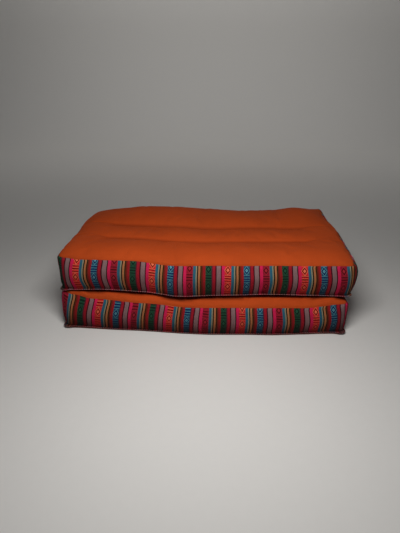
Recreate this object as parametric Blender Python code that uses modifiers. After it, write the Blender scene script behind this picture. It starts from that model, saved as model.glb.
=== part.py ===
"""Folding meditation cushion, folded shut: two sewn box pads, one on the other, with a cloth hinge.

Each pad is one filled solid with orange top and bottom panels, two sewn channels and a crown between
them. A striped gusset runs round each pad as its own band of cloth. A strip of the orange cloth joins
the pads along the back, between the lower pad's upper seam and the upper pad's lower seam.
The front faces -Y, +X is to the right, and the origin is under the middle of the object on the floor.
"""

import math
from collections import namedtuple

import bmesh
import bpy
from mathutils import Matrix, Vector

# Pad sizes, in metres, measured from seam to seam
LENGTH = 0.720
DEPTH = 0.383
PANEL_RISE = 0.018
SHOULDER = 0.062
UNDER_CURVE = 0.040
SQUASH = 0.006
BELLY = 0.007
BACK_BOW = 0.010
SEAM_CORNER = 0.012
GUSSET_CORNER = 0.040
RIPPLE = 0.0012
RIPPLE_LENGTH = 0.210

# Fullness of the curves: an exponent under 1 makes a rounder, better filled edge
BELLY_FULLNESS = 0.75
SHOULDER_FULLNESS = 0.72
CURL = 2.0
EAR_SPREAD = 5.0
CORNER_SPREAD = 8.0

# Sewn channels: distance of each line from the front seam, how it bows and how its ends run out
CHANNELS = (0.128, 0.224)
CHANNEL_DROP = 0.011
CHANNEL_FLANK = 0.016
CHANNEL_END = 0.262
CHANNEL_FADE = 0.050
CHANNEL_TAIL = 0.15
CHANNEL_BOW = 0.007

# Cloth and the room left between neighbours
GUSSET_CLOTH = 0.0015
HINGE_CLOTH = 0.0020
CLEARANCE = 0.0003
SKIN_GAP = 0.0004
WELT_REACH = 0.0045
HINGE_GAP = 0.0015
HINGE_HALF = 0.325
HINGE_BOW = 0.003

# How finely the surface is cut
EDGE_INSETS = (0.008, 0.020, 0.040)
ROLL_CUTS = (0.082, 0.176, 0.268, 0.306)
LENGTH_CELLS = 18
GUSSET_ROWS = (0.10, 0.30, 0.55, 0.80)
HINGE_ROWS = 4

# In the unit box: how near a level counts as on it, and the tilt under which a face is a wall
NEAR = 0.0001
WALL_TILT = 0.5

SeamKnot = namedtuple("SeamKnot", "x forward rise")
RollKnot = namedtuple("RollKnot", "x rise")
End = namedtuple("End", "bow swell back_ear")
Pad = namedtuple(
    "Pad",
    "name base lower_seam upper_seam flat_top front_step phase left right upper_knots lower_knots back_roll",
)

# Front seams from left to right: how far each bows forward of the corners, and how far it rises
UPPER_PAD = Pad(
    name="upper",
    base=0.1040,
    lower_seam=0.1100,
    upper_seam=0.1920,
    flat_top=None,
    front_step=0.000,
    phase=0.000,
    left=End(bow=0.006, swell=0.007, back_ear=-0.012),
    right=End(bow=0.014, swell=0.015, back_ear=0.015),
    upper_knots=(
        SeamKnot(-0.36, 0.000, 0.007),
        SeamKnot(-0.30, 0.006, 0.004),
        SeamKnot(-0.18, 0.008, 0.004),
        SeamKnot(-0.07, 0.014, -0.004),
        SeamKnot(0.05, 0.012, -0.002),
        SeamKnot(0.20, 0.009, 0.000),
        SeamKnot(0.36, 0.008, 0.003),
    ),
    lower_knots=(
        SeamKnot(-0.36, 0.000, 0.000),
        SeamKnot(-0.24, 0.003, 0.005),
        SeamKnot(-0.15, 0.007, 0.003),
        SeamKnot(-0.06, 0.019, -0.001),
        SeamKnot(0.05, 0.011, 0.001),
        SeamKnot(0.17, 0.006, 0.004),
        SeamKnot(0.36, 0.001, 0.001),
    ),
    back_roll=(
        RollKnot(-0.36, -0.006),
        RollKnot(-0.20, 0.010),
        RollKnot(0.00, 0.003),
        RollKnot(0.13, -0.002),
        RollKnot(0.30, 0.014),
        RollKnot(0.36, 0.001),
    ),
)
LOWER_PAD = Pad(
    name="lower",
    base=0.000,
    lower_seam=0.006,
    upper_seam=0.083,
    flat_top=UPPER_PAD.base - CLEARANCE,
    front_step=0.010,
    phase=0.070,
    left=End(bow=0.006, swell=0.012, back_ear=0.000),
    right=End(bow=0.003, swell=0.009, back_ear=0.000),
    upper_knots=(
        SeamKnot(-0.36, -0.007, 0.014),
        SeamKnot(-0.28, 0.002, 0.006),
        SeamKnot(-0.15, 0.011, 0.002),
        SeamKnot(-0.03, 0.017, -0.004),
        SeamKnot(0.11, 0.015, -0.002),
        SeamKnot(0.24, 0.011, -0.001),
        SeamKnot(0.36, 0.000, 0.008),
    ),
    lower_knots=(
        SeamKnot(-0.36, 0.005, 0.004),
        SeamKnot(-0.20, 0.009, 0.000),
        SeamKnot(0.00, 0.018, -0.001),
        SeamKnot(0.14, 0.014, 0.000),
        SeamKnot(0.36, 0.000, 0.003),
    ),
    back_roll=(RollKnot(-0.36, 0.000), RollKnot(0.36, 0.000)),
)

FINISHES = {
    "orange_cotton": ((0.560, 0.085, 0.016, 1.0), 0.85),
    "striped_gusset": ((0.190, 0.030, 0.034, 1.0), 0.80),
}


def clear_scene():
    """Remove the objects that the new file opened with."""
    for thing in list(bpy.data.objects):
        bpy.data.objects.remove(thing, do_unlink=True)


def make_material(name):
    """Principled finish for one cloth."""
    colour, roughness = FINISHES[name]
    material = bpy.data.materials.new(name)
    material.use_nodes = True
    shader = material.node_tree.nodes["Principled BSDF"]
    shader.inputs["Base Color"].default_value = colour
    shader.inputs["Roughness"].default_value = roughness
    shader.inputs["Metallic"].default_value = 0.0
    return material


def smooth(t):
    """Ease from 0 to 1."""
    t = min(max(t, 0.0), 1.0)
    return t * t * (3.0 - 2.0 * t)


def eased(knots, x):
    """Values of a table at x, eased from one knot to the next."""
    if x <= knots[0].x:
        return knots[0][1:]
    for a, b in zip(knots, knots[1:]):
        if x <= b.x:
            t = smooth((x - a.x) / (b.x - a.x))
            return tuple(p + (q - p) * t for p, q in zip(a[1:], b[1:]))
    return knots[-1][1:]


def ripple(pad, place):
    """Small unevenness of a seam at a place along it."""
    return RIPPLE * math.sin(2.0 * math.pi * (place + pad.phase) / RIPPLE_LENGTH)


def belly(w):
    """Share of its full swell that the gusset has at a height w, from the lower seam to the upper one."""
    return math.sin(math.pi * w) ** BELLY_FULLNESS


def corner_radius(w):
    """Plan radius of a corner: tight at the seams, rounder between them."""
    return SEAM_CORNER + (GUSSET_CORNER - SEAM_CORNER) * math.sin(math.pi * w)


def round_corner(x, y, half_x, half_y, radius):
    """Move a point on a rectangle's edge onto the same rectangle with round corners."""
    from_side = half_x - abs(x)
    from_front = half_y - abs(y)
    if from_side >= radius or from_front >= radius:
        return x, y
    turn = math.pi / 4
    turn += turn * (from_side - from_front) / radius
    centre_x = half_x - radius
    centre_y = half_y - radius
    return (
        math.copysign(centre_x + radius * math.cos(turn), x),
        math.copysign(centre_y + radius * math.sin(turn), y),
    )


def plan_point(pad, u, v, w):
    """Place in plan of the unit point u, v at height w, on the edge or inside a panel."""
    bow_high, _ = eased(pad.upper_knots, u * LENGTH / 2)
    bow_low, _ = eased(pad.lower_knots, u * LENGTH / 2)
    end = pad.left if u < 0.0 else pad.right
    half_x = LENGTH / 2 + end.bow * (1.0 - v * v) + end.swell * belly(w) + ripple(pad, v * DEPTH / 2)
    if v < 0.0:
        half_y = DEPTH / 2 + pad.front_step + bow_low + (bow_high - bow_low) * w + BELLY * belly(w)
    else:
        half_y = DEPTH / 2 + BACK_BOW * (1.0 - u * u) + BELLY * belly(w) + ripple(pad, u * LENGTH / 2)
    reach = max(abs(u), abs(v), NEAR)
    edge_x = u / reach * half_x
    edge_y = v / reach * half_y
    round_x, round_y = round_corner(edge_x, edge_y, half_x, half_y, corner_radius(w))
    fade = reach ** CORNER_SPREAD
    return u * half_x + (round_x - edge_x) * fade, v * half_y + (round_y - edge_y) * fade


def seam_height(pad, u, v, w):
    """Height of the seams, carried over the panels: w is 0 on the lower seam and 1 on the upper one."""
    front = smooth(-v)
    _, low_rise = eased(pad.lower_knots, u * LENGTH / 2)
    _, high_rise = eased(pad.upper_knots, u * LENGTH / 2)
    end = pad.left if u < 0.0 else pad.right
    back_ear = end.back_ear * (abs(u) * max(v, 0.0)) ** EAR_SPREAD
    wave = ripple(pad, u * LENGTH / 2 + v * DEPTH / 2) * (1.0 - front)
    low = pad.lower_seam + low_rise * front + wave
    high = pad.upper_seam + high_rise * front - wave + back_ear
    return low + (high - low) * w


def edge_distance(u, v):
    """Distances of a panel point from the nearest side seam and the nearest long seam."""
    return (1.0 - abs(u)) * LENGTH / 2, (1.0 - abs(v)) * DEPTH / 2


def shoulder(distance):
    """Rise of a filled panel from 0 at its seam to 1 at the full width of its shoulder."""
    t = min(distance / SHOULDER, 1.0)
    return math.sin(math.pi / 2 * t ** SHOULDER_FULLNESS)


def channel_bow(u, v):
    """How far the channels, and the panel between them, lie forward of straight lines."""
    middle = max(0.0, 1.0 - (u * LENGTH / 2 / CHANNEL_END) ** 2)
    return CHANNEL_BOW * middle * (1.0 - v * v)


def channel_depth(u, v):
    """Depth that the sewn channels draw the top panel down."""
    x = abs(u) * LENGTH / 2
    y = (v + 1.0) * DEPTH / 2
    run = 1.0 - smooth((x - CHANNEL_END) / CHANNEL_FADE)
    strength = CHANNEL_TAIL + (1.0 - CHANNEL_TAIL) * run
    depth = 0.0
    for line in CHANNELS:
        depth += CHANNEL_DROP * math.exp(-abs(y - line) / CHANNEL_FLANK)
    return depth * strength


def top_height(pad, u, v):
    """Height of the top panel: the crown, with its channels, over the line of the seam."""
    side, front = edge_distance(u, v)
    lift = shoulder(side) * shoulder(front)
    (hump,) = eased(pad.back_roll, u * LENGTH / 2)
    height = seam_height(pad, u, v, 1.0) + PANEL_RISE * lift - channel_depth(u, v) * lift
    height += hump * smooth(v) * lift
    if pad.flat_top is not None:
        height = min(height + SQUASH * lift, pad.flat_top)
    return height


def underside_height(pad, u, v):
    """Height of the bottom panel: flat where it rests, curling up to the lower seam."""
    side, front = edge_distance(u, v)
    inset = min(side, front)
    curl = max(0.0, 1.0 - inset / UNDER_CURVE) ** CURL
    return pad.base + (seam_height(pad, u, v, 0.0) - pad.base) * curl


def cut_stations(half, cuts):
    """Places to cut across a panel, as unit coordinates: the edge insets and the given cuts."""
    edges = [half - inset for inset in EDGE_INSETS]
    places = sorted([-edge for edge in edges] + edges + list(cuts))
    return [place / half for place in places]


def cut_box(bm, axis, places):
    """Cut the unit box square to one axis at each place."""
    normal = Vector((0.0, 0.0, 0.0))
    normal[axis] = 1.0
    for place in places:
        everything = bm.verts[:] + bm.edges[:] + bm.faces[:]
        bmesh.ops.bisect_plane(bm, geom=everything, plane_co=normal * place, plane_no=normal)


def unit_pad():
    """Box from -1 to 1 cut where the pad bends, its walls marked as gusset."""
    bm = bmesh.new()
    bmesh.ops.create_cube(bm, size=2.0)
    inner = LENGTH / 2 - EDGE_INSETS[-1]
    step = 2.0 * inner / LENGTH_CELLS
    along = [-inner + step * i for i in range(1, LENGTH_CELLS)]
    across = list(ROLL_CUTS)
    for line in CHANNELS:
        across += [line - CHANNEL_FLANK, line, line + CHANNEL_FLANK]
    cut_box(bm, 0, cut_stations(LENGTH / 2, along))
    cut_box(bm, 1, cut_stations(DEPTH / 2, [y - DEPTH / 2 for y in across]))
    cut_box(bm, 2, [2.0 * w - 1.0 for w in GUSSET_ROWS])
    wall = bm.faces.layers.int.new("gusset")
    bm.normal_update()
    for face in bm.faces:
        face[wall] = int(abs(face.normal.z) < WALL_TILT)
    return bm


def join_resting_face(bm):
    """Make the flat part of the underside one face."""
    flat_x = 1.0 - EDGE_INSETS[-1] / (LENGTH / 2)
    flat_y = 1.0 - EDGE_INSETS[-1] / (DEPTH / 2)
    flat = []
    for face in bm.faces:
        middle = face.calc_center_median()
        if middle.z < NEAR - 1.0 and abs(middle.x) < flat_x and abs(middle.y) < flat_y:
            flat.append(face)
    bmesh.ops.dissolve_faces(bm, faces=flat)


def shape_pad(bm, pad):
    """Move every point of the unit box to its place on the pad."""
    for vert in bm.verts:
        u, v, raw_w = vert.co
        w = (raw_w + 1.0) / 2.0
        x, y = plan_point(pad, u, v, w)
        if w > 1.0 - NEAR:
            y -= channel_bow(u, v)
            z = top_height(pad, u, v)
        elif w < NEAR:
            z = underside_height(pad, u, v)
        else:
            z = seam_height(pad, u, v, w)
        vert.co = (x, y, z)


def add_object(name, bm, material, collection):
    """Turn a bmesh into a named object with its finish."""
    mesh = bpy.data.meshes.new(name)
    bm.to_mesh(mesh)
    bm.free()
    mesh.materials.append(material)
    mesh.shade_smooth()
    thing = bpy.data.objects.new(name, mesh)
    collection.objects.link(thing)
    return thing


def make_pad(pad, material, collection):
    """One filled pad, and a copy of its shaped surface for the gusset."""
    bm = unit_pad()
    join_resting_face(bm)
    shape_pad(bm, pad)
    bmesh.ops.triangulate(bm, faces=bm.faces[:], quad_method="FIXED", ngon_method="BEAUTY")
    surface = bm.copy()
    add_object(pad.name + "_pad", bm, material, collection)
    return surface


def turn_out(surface, edges):
    """Turn a seam allowance outward from the given edges of a band of cloth."""
    result = bmesh.ops.extrude_edge_only(surface, edges=edges)
    rim = {item for item in result["geom"] if isinstance(item, bmesh.types.BMVert)}
    for vert in rim:
        seam = next(edge.other_vert(vert) for edge in vert.link_edges if edge.other_vert(vert) not in rim)
        vert.co = seam.co + Vector((seam.normal.x, seam.normal.y, 0.0)).normalized() * WELT_REACH


def make_gusset(pad, surface, material, collection):
    """Band of striped cloth round a pad, with the seam allowance of its lower edge turned out."""
    wall = surface.faces.layers.int["gusset"]
    panels = [face for face in surface.faces if not face[wall]]
    bmesh.ops.delete(surface, geom=panels, context="FACES")
    surface.normal_update()
    for vert in surface.verts:
        vert.co += vert.normal * SKIN_GAP
    half_way = (pad.lower_seam + pad.upper_seam) / 2.0
    rims = [edge for edge in surface.edges if edge.is_boundary]
    turn_out(surface, [edge for edge in rims if edge.verts[0].co.z < half_way])
    bmesh.ops.triangulate(surface, faces=surface.faces[:], quad_method="FIXED")
    band = add_object(pad.name + "_gusset", surface, material, collection)
    cloth = band.modifiers.new("cloth", "SOLIDIFY")
    cloth.thickness = GUSSET_CLOTH
    cloth.offset = 1.0
    cloth.use_even_offset = True


def make_hinge(material, collection):
    """Strip of cloth that joins the pads along the back, bowed out a little between the two seams."""
    bm = bmesh.new()
    bmesh.ops.create_grid(bm, x_segments=LENGTH_CELLS, y_segments=HINGE_ROWS, size=1.0)
    for vert in bm.verts:
        x = vert.co.x * HINGE_HALF
        t = (vert.co.y + 1.0) / 2.0
        u = x / (LENGTH / 2)
        low_z = seam_height(LOWER_PAD, u, 1.0, 1.0) + HINGE_GAP
        high_z = seam_height(UPPER_PAD, u, 1.0, 0.0) - HINGE_GAP
        _, low_y = plan_point(LOWER_PAD, u, 1.0, 1.0)
        _, high_y = plan_point(UPPER_PAD, u, 1.0, 0.0)
        bow = SKIN_GAP + HINGE_BOW * math.sin(math.pi * t)
        vert.co = (x, low_y + (high_y - low_y) * t + bow, low_z + (high_z - low_z) * t)
    strip = add_object("fold_hinge", bm, material, collection)
    cloth = strip.modifiers.new("cloth", "SOLIDIFY")
    cloth.thickness = HINGE_CLOTH
    cloth.offset = -1.0
    cloth.use_even_offset = True


def centre_over_origin(collection):
    """Move every mesh so that the origin is on the floor under the middle of the whole cushion."""
    bpy.context.view_layer.update()
    graph = bpy.context.evaluated_depsgraph_get()
    shapes = [thing.evaluated_get(graph) for thing in collection.objects]
    corners = [Vector(corner) for shape in shapes for corner in shape.bound_box]
    low = Vector([min(corner[axis] for corner in corners) for axis in range(3)])
    high = Vector([max(corner[axis] for corner in corners) for axis in range(3)])
    middle = (low + high) / 2.0
    for thing in collection.objects:
        thing.data.transform(Matrix.Translation((-middle.x, -middle.y, -low.z)))


def main():
    """Build both pads, their gussets and the hinge."""
    clear_scene()
    collection = bpy.data.collections.new("meditation_cushion")
    bpy.context.scene.collection.children.link(collection)
    orange = make_material("orange_cotton")
    stripes = make_material("striped_gusset")
    for pad in (UPPER_PAD, LOWER_PAD):
        surface = make_pad(pad, orange, collection)
        make_gusset(pad, surface, stripes, collection)
    make_hinge(orange, collection)
    centre_over_origin(collection)


main()
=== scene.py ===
"""Looks of a folding meditation cushion, folded shut: two filled cotton pads, one on the other.

Each pad has orange cotton panels, two sewn channels and a striped woven gusset whose lower seam allowance
stands out as a thin welt. An orange hinge strip joins the pads along the back. The front faces -Y.
"""

import logging
import math
from dataclasses import dataclass, field
from enum import Enum
from typing import NamedTuple

import bpy
import numpy as np
from mathutils import Matrix, Vector
from mathutils.bvhtree import BVHTree


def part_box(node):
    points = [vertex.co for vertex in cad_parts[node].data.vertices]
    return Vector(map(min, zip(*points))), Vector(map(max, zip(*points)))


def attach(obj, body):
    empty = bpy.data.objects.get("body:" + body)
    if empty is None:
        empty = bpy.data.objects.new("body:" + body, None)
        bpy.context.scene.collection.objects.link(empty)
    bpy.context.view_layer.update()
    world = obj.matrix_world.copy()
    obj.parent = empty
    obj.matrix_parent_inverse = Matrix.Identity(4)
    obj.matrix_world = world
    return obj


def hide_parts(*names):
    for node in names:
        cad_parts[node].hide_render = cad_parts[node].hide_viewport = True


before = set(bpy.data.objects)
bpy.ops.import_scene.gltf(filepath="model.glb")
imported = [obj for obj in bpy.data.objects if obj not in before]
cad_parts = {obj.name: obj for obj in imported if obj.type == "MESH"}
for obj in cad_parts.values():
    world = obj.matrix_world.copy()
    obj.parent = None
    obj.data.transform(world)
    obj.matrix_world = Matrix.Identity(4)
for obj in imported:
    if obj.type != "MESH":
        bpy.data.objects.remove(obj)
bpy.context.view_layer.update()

log = logging.getLogger("cushion")

Array = np.ndarray
Colour = tuple[float, float, float, float]
Range = tuple[float, float]
Socket = bpy.types.NodeSocket
Value = Socket | float | Colour

TINY = 1e-6


class Cloth(Enum):
    """The two cloths of the cushion."""

    ORANGE = "orange_cotton"
    STRIPED = "striped_gusset"


class Figure(Enum):
    """Code of each part of a woven figure in its chart."""

    GROUND = 0.0
    DARK = 0.5
    LIGHT = 1.0

    @property
    def shade(self) -> Colour:
        """The code as a grey."""
        return (self.value, self.value, self.value, 1.0)


class SeamKnot(NamedTuple):
    """How far a front seam bows forward of the corners, and how far it rises, at one place along it."""

    x: float
    forward: float
    rise: float


class RollKnot(NamedTuple):
    """How far the back of the crown is filled above the front, at its seam and at its crest, at one place."""

    x: float
    rise: float
    crest: float


class ChannelKnot(NamedTuple):
    """How far forward of a straight line each sewn channel lies, at one place along it."""

    x: float
    front: float
    back: float


class GrainKnot(NamedTuple):
    """How the striped cloth is sewn in at one place round the pad.

    Its stripes are moved along the seam, lean on the way down and bulge in the middle, and its motifs start
    a drop below the upper seam.
    """

    x: float
    shift: float
    lean: float
    bulge: float
    drop: float


class End(NamedTuple):
    """Shape of a short end: how its seams bow, how its gusset swells and how its back corner lifts."""

    bow: float
    swell: float
    back_ear: float


def smooth(t: Array) -> Array:
    """Ease from 0 to 1."""
    t = np.clip(t, 0.0, 1.0)
    return t * t * (3.0 - 2.0 * t)


def eased(knots: tuple[NamedTuple, ...], x: Array) -> list[Array]:
    """Read a table at many places, eased from one knot to the next.

    Args:
        knots: Rows whose first column is the place.
        x: Places to read.

    Returns:
        One array for each further column.
    """
    table = np.array(knots)
    places, columns = table[:, 0], table[:, 1:].T
    i = np.clip(np.searchsorted(places, x, side="right") - 1, 0, len(places) - 2)
    t = smooth((x - places[i]) / (places[i + 1] - places[i]))
    return [column[i] + (column[i + 1] - column[i]) * t for column in columns]


def along(points: Array) -> Array:
    """Distance along a line of points, from 0 at its first point."""
    steps = np.linalg.norm(np.diff(points, axis=0), axis=1)
    return np.concatenate([[0.0], np.cumsum(steps)])


def linear(red: int, green: int, blue: int) -> Colour:
    """Dye named by its screen values, 0 to 255, as the linear colour that a shader takes."""
    return (*(((c / 255.0 + 0.055) / 1.055) ** 2.4 for c in (red, green, blue)), 1.0)


@dataclass(frozen=True)
class PadMake:
    """Sizes that both pads share, in metres, from seam to seam.

    The plan and the gusset are those of the solids, and the crown and its channels are a little fuller.
    """

    length: float = 0.720
    depth: float = 0.383
    panel_rise: float = 0.0195
    shoulder: float = 0.057
    back_shoulder: float = 0.090
    under_curve: float = 0.040
    squash: float = 0.006
    belly: float = 0.007
    back_bow: float = 0.010
    seam_corner: float = 0.012
    gusset_corner: float = 0.040
    ripple: float = 0.0012
    ripple_length: float = 0.210
    belly_fullness: float = 0.75
    shoulder_fullness: float = 0.63
    curl: float = 2.0
    ear_spread: float = 5.0
    corner_spread: float = 8.0
    channels: tuple[float, float] = (0.127, 0.220)
    channel_drops: tuple[float, float] = (0.011, 0.008)
    channel_reach: float = 0.067
    channel_ease: float = 1.5
    channel_flank: float = 0.015
    channel_end: float = 0.253
    channel_fade: float = 0.034
    channel_tail: float = 0.15
    groove_drop: float = 0.0025
    groove_flank: float = 0.0040
    crest_place: float = 0.70


@dataclass(frozen=True)
class ClothCells:
    """How finely the cloth is divided before it is filled: a cell between seams, finer steps beside them."""

    cell: float = 0.0070
    beside_seam: tuple[float, ...] = (0.0025, 0.0060, 0.0105, 0.0160)

    def places(self, anchors: list[float]) -> Array:
        """Places across a cloth, close together at each anchor and a cell apart between them.

        Args:
            anchors: Seams and sewn lines, in metres, in order.

        Returns:
            Places in metres, the anchors included.
        """
        found = [anchors[0]]
        near = np.array(self.beside_seam)
        for a, b in zip(anchors, anchors[1:]):
            low, high = a + near[-1], b - near[-1]
            between = np.linspace(low, high, round((high - low) / self.cell) + 1)
            found += [*(a + near[:-1]), *between, *(b - near[-2::-1]), b]
        return np.array(found)


@dataclass
class PadShape:
    """The sewn and filled form of one pad, as functions of unit coordinates.

    Both u (left to right) and v (front to back) run from -1 to 1, and w from 0 on the lower seam to 1 on
    the upper one. Arrays are read point by point.
    """

    base: float
    lower_seam: float
    upper_seam: float
    flat_top: float | None
    front_step: float
    phase: float
    left: End
    right: End
    upper_knots: tuple[SeamKnot, ...]
    lower_knots: tuple[SeamKnot, ...]
    back_roll: tuple[RollKnot, ...]
    channel_knots: tuple[ChannelKnot, ...] = (ChannelKnot(-0.36, 0.0, 0.0), ChannelKnot(0.36, 0.0, 0.0))
    make: PadMake = field(default_factory=PadMake)

    def end(self, u: Array, name: str) -> Array:
        """One value of the left or right end, whichever is nearer."""
        return np.where(u < 0.0, getattr(self.left, name), getattr(self.right, name))

    def ripple(self, place: Array) -> Array:
        """Small unevenness of a seam at a place along it."""
        return self.make.ripple * np.sin(2.0 * math.pi * (place + self.phase) / self.make.ripple_length)

    def belly(self, w: Array) -> Array:
        """Share of its full swell that the gusset has at a height."""
        return np.sin(math.pi * np.clip(w, 0.0, 1.0)) ** self.make.belly_fullness

    def round_corner(
        self, x: Array, y: Array, half_x: Array, half_y: Array, radius: Array
    ) -> tuple[Array, Array]:
        """Move points on a rectangle's edge onto the same rectangle with round corners.

        Args:
            x: Places across, on the rectangle's edge.
            y: Places along, on the rectangle's edge.
            half_x: Half the rectangle's width.
            half_y: Half the rectangle's depth.
            radius: Radius of the corners.

        Returns:
            The moved x and y.
        """
        from_side = half_x - np.abs(x)
        from_front = half_y - np.abs(y)
        turn = math.pi / 4 * (1.0 + (from_side - from_front) / radius)
        round_x = np.copysign(half_x - radius + radius * np.cos(turn), x)
        round_y = np.copysign(half_y - radius + radius * np.sin(turn), y)
        near = (from_side < radius) & (from_front < radius)
        return np.where(near, round_x, x), np.where(near, round_y, y)

    def plan(self, u: Array, v: Array, w: Array) -> tuple[Array, Array]:
        """Place in plan of unit points, on the edge or inside a panel.

        Args:
            u: Unit places from left to right.
            v: Unit places from front to back.
            w: Heights, 0 on the lower seam and 1 on the upper one.

        Returns:
            The x and y of each point, in metres.
        """
        make = self.make
        x_along, y_along = u * make.length / 2, v * make.depth / 2
        bow_high, _ = eased(self.upper_knots, x_along)
        bow_low, _ = eased(self.lower_knots, x_along)
        belly = self.belly(w)
        half_x = make.length / 2 + self.end(u, "bow") * (1.0 - v * v) + self.end(u, "swell") * belly
        half_x = half_x + self.ripple(y_along)
        front = self.front_step + bow_low + (bow_high - bow_low) * w
        back = make.back_bow * (1.0 - u * u) + self.ripple(x_along)
        half_y = make.depth / 2 + make.belly * belly + np.where(v < 0.0, front, back)
        reach = np.maximum(np.maximum(np.abs(u), np.abs(v)), TINY)
        radius = make.seam_corner + (make.gusset_corner - make.seam_corner) * np.sin(math.pi * w)
        edge_x, edge_y = u / reach * half_x, v / reach * half_y
        round_x, round_y = self.round_corner(edge_x, edge_y, half_x, half_y, radius)
        fade = reach ** make.corner_spread
        return u * half_x + (round_x - edge_x) * fade, v * half_y + (round_y - edge_y) * fade

    def seam_height(self, u: Array, v: Array, w: Array) -> Array:
        """Height of the seams, carried over the panels and up the gusset.

        Args:
            u: Unit places from left to right.
            v: Unit places from front to back.
            w: Heights, 0 on the lower seam and 1 on the upper one.

        Returns:
            The z of each point, in metres.
        """
        front = smooth(-v)
        x_along = u * self.make.length / 2
        low_rise = eased(self.lower_knots, x_along)[1]
        high_rise = eased(self.upper_knots, x_along)[1]
        ear = self.end(u, "back_ear") * (np.abs(u) * np.maximum(v, 0.0)) ** self.make.ear_spread
        wave = self.ripple(x_along + v * self.make.depth / 2) * (1.0 - front)
        low = self.lower_seam + low_rise * front + wave
        high = self.upper_seam + high_rise * front - wave + ear
        return low + (high - low) * w

    def edge_distance(self, u: Array, v: Array) -> tuple[Array, Array]:
        """Distances of panel points from the nearest side seam and the nearest long seam."""
        return (1.0 - np.abs(u)) * self.make.length / 2, (1.0 - np.abs(v)) * self.make.depth / 2

    def shoulder(self, distance: Array, width: Array) -> Array:
        """Rise of a filled panel from 0 at its seam to 1 at the full width of its shoulder."""
        return np.sin(math.pi / 2 * np.minimum(distance / width, 1.0) ** self.make.shoulder_fullness)

    def between_lines(self, v: Array) -> list[Array]:
        """Unit places from the front seam to the front channel, on to the back one, and to the back seam."""
        lines = [-1.0, *(2.0 * line / self.make.depth - 1.0 for line in self.make.channels), 1.0]
        return [np.clip((v - a) / (b - a), 0.0, 1.0) for a, b in zip(lines, lines[1:])]

    def channel_shift(self, u: Array, v: Array) -> Array:
        """How far the rows of the top panel lie forward: with the channels, and not at all at the seams.

        Args:
            u: Unit places from left to right.
            v: Unit places from front to back.

        Returns:
            The distance at each point, in metres.
        """
        front, back = eased(self.channel_knots, u * self.make.length / 2)
        to_front, to_back, to_seam = self.between_lines(v)
        return (front * to_front * (1.0 - to_back) + back * to_back) * (1.0 - to_seam)

    def channel_run(self, u: Array) -> Array:
        """How strongly the channels draw the panel down, fading past the ends of their stitching."""
        past = (np.abs(u) * self.make.length / 2 - self.make.channel_end) / self.make.channel_fade
        return self.make.channel_tail + (1.0 - self.make.channel_tail) * (1.0 - smooth(past))

    def grooves(self, v: Array, width: float) -> Array:
        """Nearness to a sewn line, from 0 to 1 on the line."""
        y = (v + 1.0) * self.make.depth / 2
        return sum(np.exp(-(((y - line) / width) ** 2)) for line in self.make.channels)

    def channel_depth(self, u: Array, v: Array) -> Array:
        """Depth that the sewn channels draw the top panel down: slowly before each line, quickly behind it.

        Args:
            u: Unit places from left to right.
            v: Unit places from front to back.

        Returns:
            The depth at each point, in metres.
        """
        y = (v + 1.0) * self.make.depth / 2
        depth = self.make.groove_drop * self.grooves(v, self.make.groove_flank)
        for line, drop in zip(self.make.channels, self.make.channel_drops):
            before = np.maximum(0.0, 1.0 - np.maximum(line - y, 0.0) / self.make.channel_reach)
            behind = np.exp(-np.maximum(y - line, 0.0) / self.make.channel_flank)
            depth += drop * before ** self.make.channel_ease * behind
        return depth * self.channel_run(u)

    def top_height(self, u: Array, v: Array) -> Array:
        """Height of the top panel: the crown, with its channels, over the line of the seam.

        Args:
            u: Unit places from left to right.
            v: Unit places from front to back.

        Returns:
            The z of each point, in metres.
        """
        side, front = self.edge_distance(u, v)
        width = np.where(v < 0.0, self.make.shoulder, self.make.back_shoulder)
        lift = self.shoulder(side, self.make.shoulder) * self.shoulder(front, width)
        rise, crest = eased(self.back_roll, u * self.make.length / 2)
        hump = rise * smooth(v) + crest * np.sin(math.pi * self.between_lines(v)[2] ** self.make.crest_place)
        height = self.seam_height(u, v, np.ones_like(u))
        height += (self.make.panel_rise + hump - self.channel_depth(u, v)) * lift
        if self.flat_top is not None:
            height = np.minimum(height + self.make.squash * lift, self.flat_top)
        return height

    def underside_height(self, u: Array, v: Array) -> Array:
        """Height of the bottom panel: flat where it rests, curling up to the lower seam.

        Args:
            u: Unit places from left to right.
            v: Unit places from front to back.

        Returns:
            The z of each point, in metres.
        """
        side, front = self.edge_distance(u, v)
        inset = np.minimum(side, front)
        curl = np.maximum(0.0, 1.0 - inset / self.make.under_curve) ** self.make.curl
        return self.base + (self.seam_height(u, v, np.zeros_like(u)) - self.base) * curl


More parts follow.
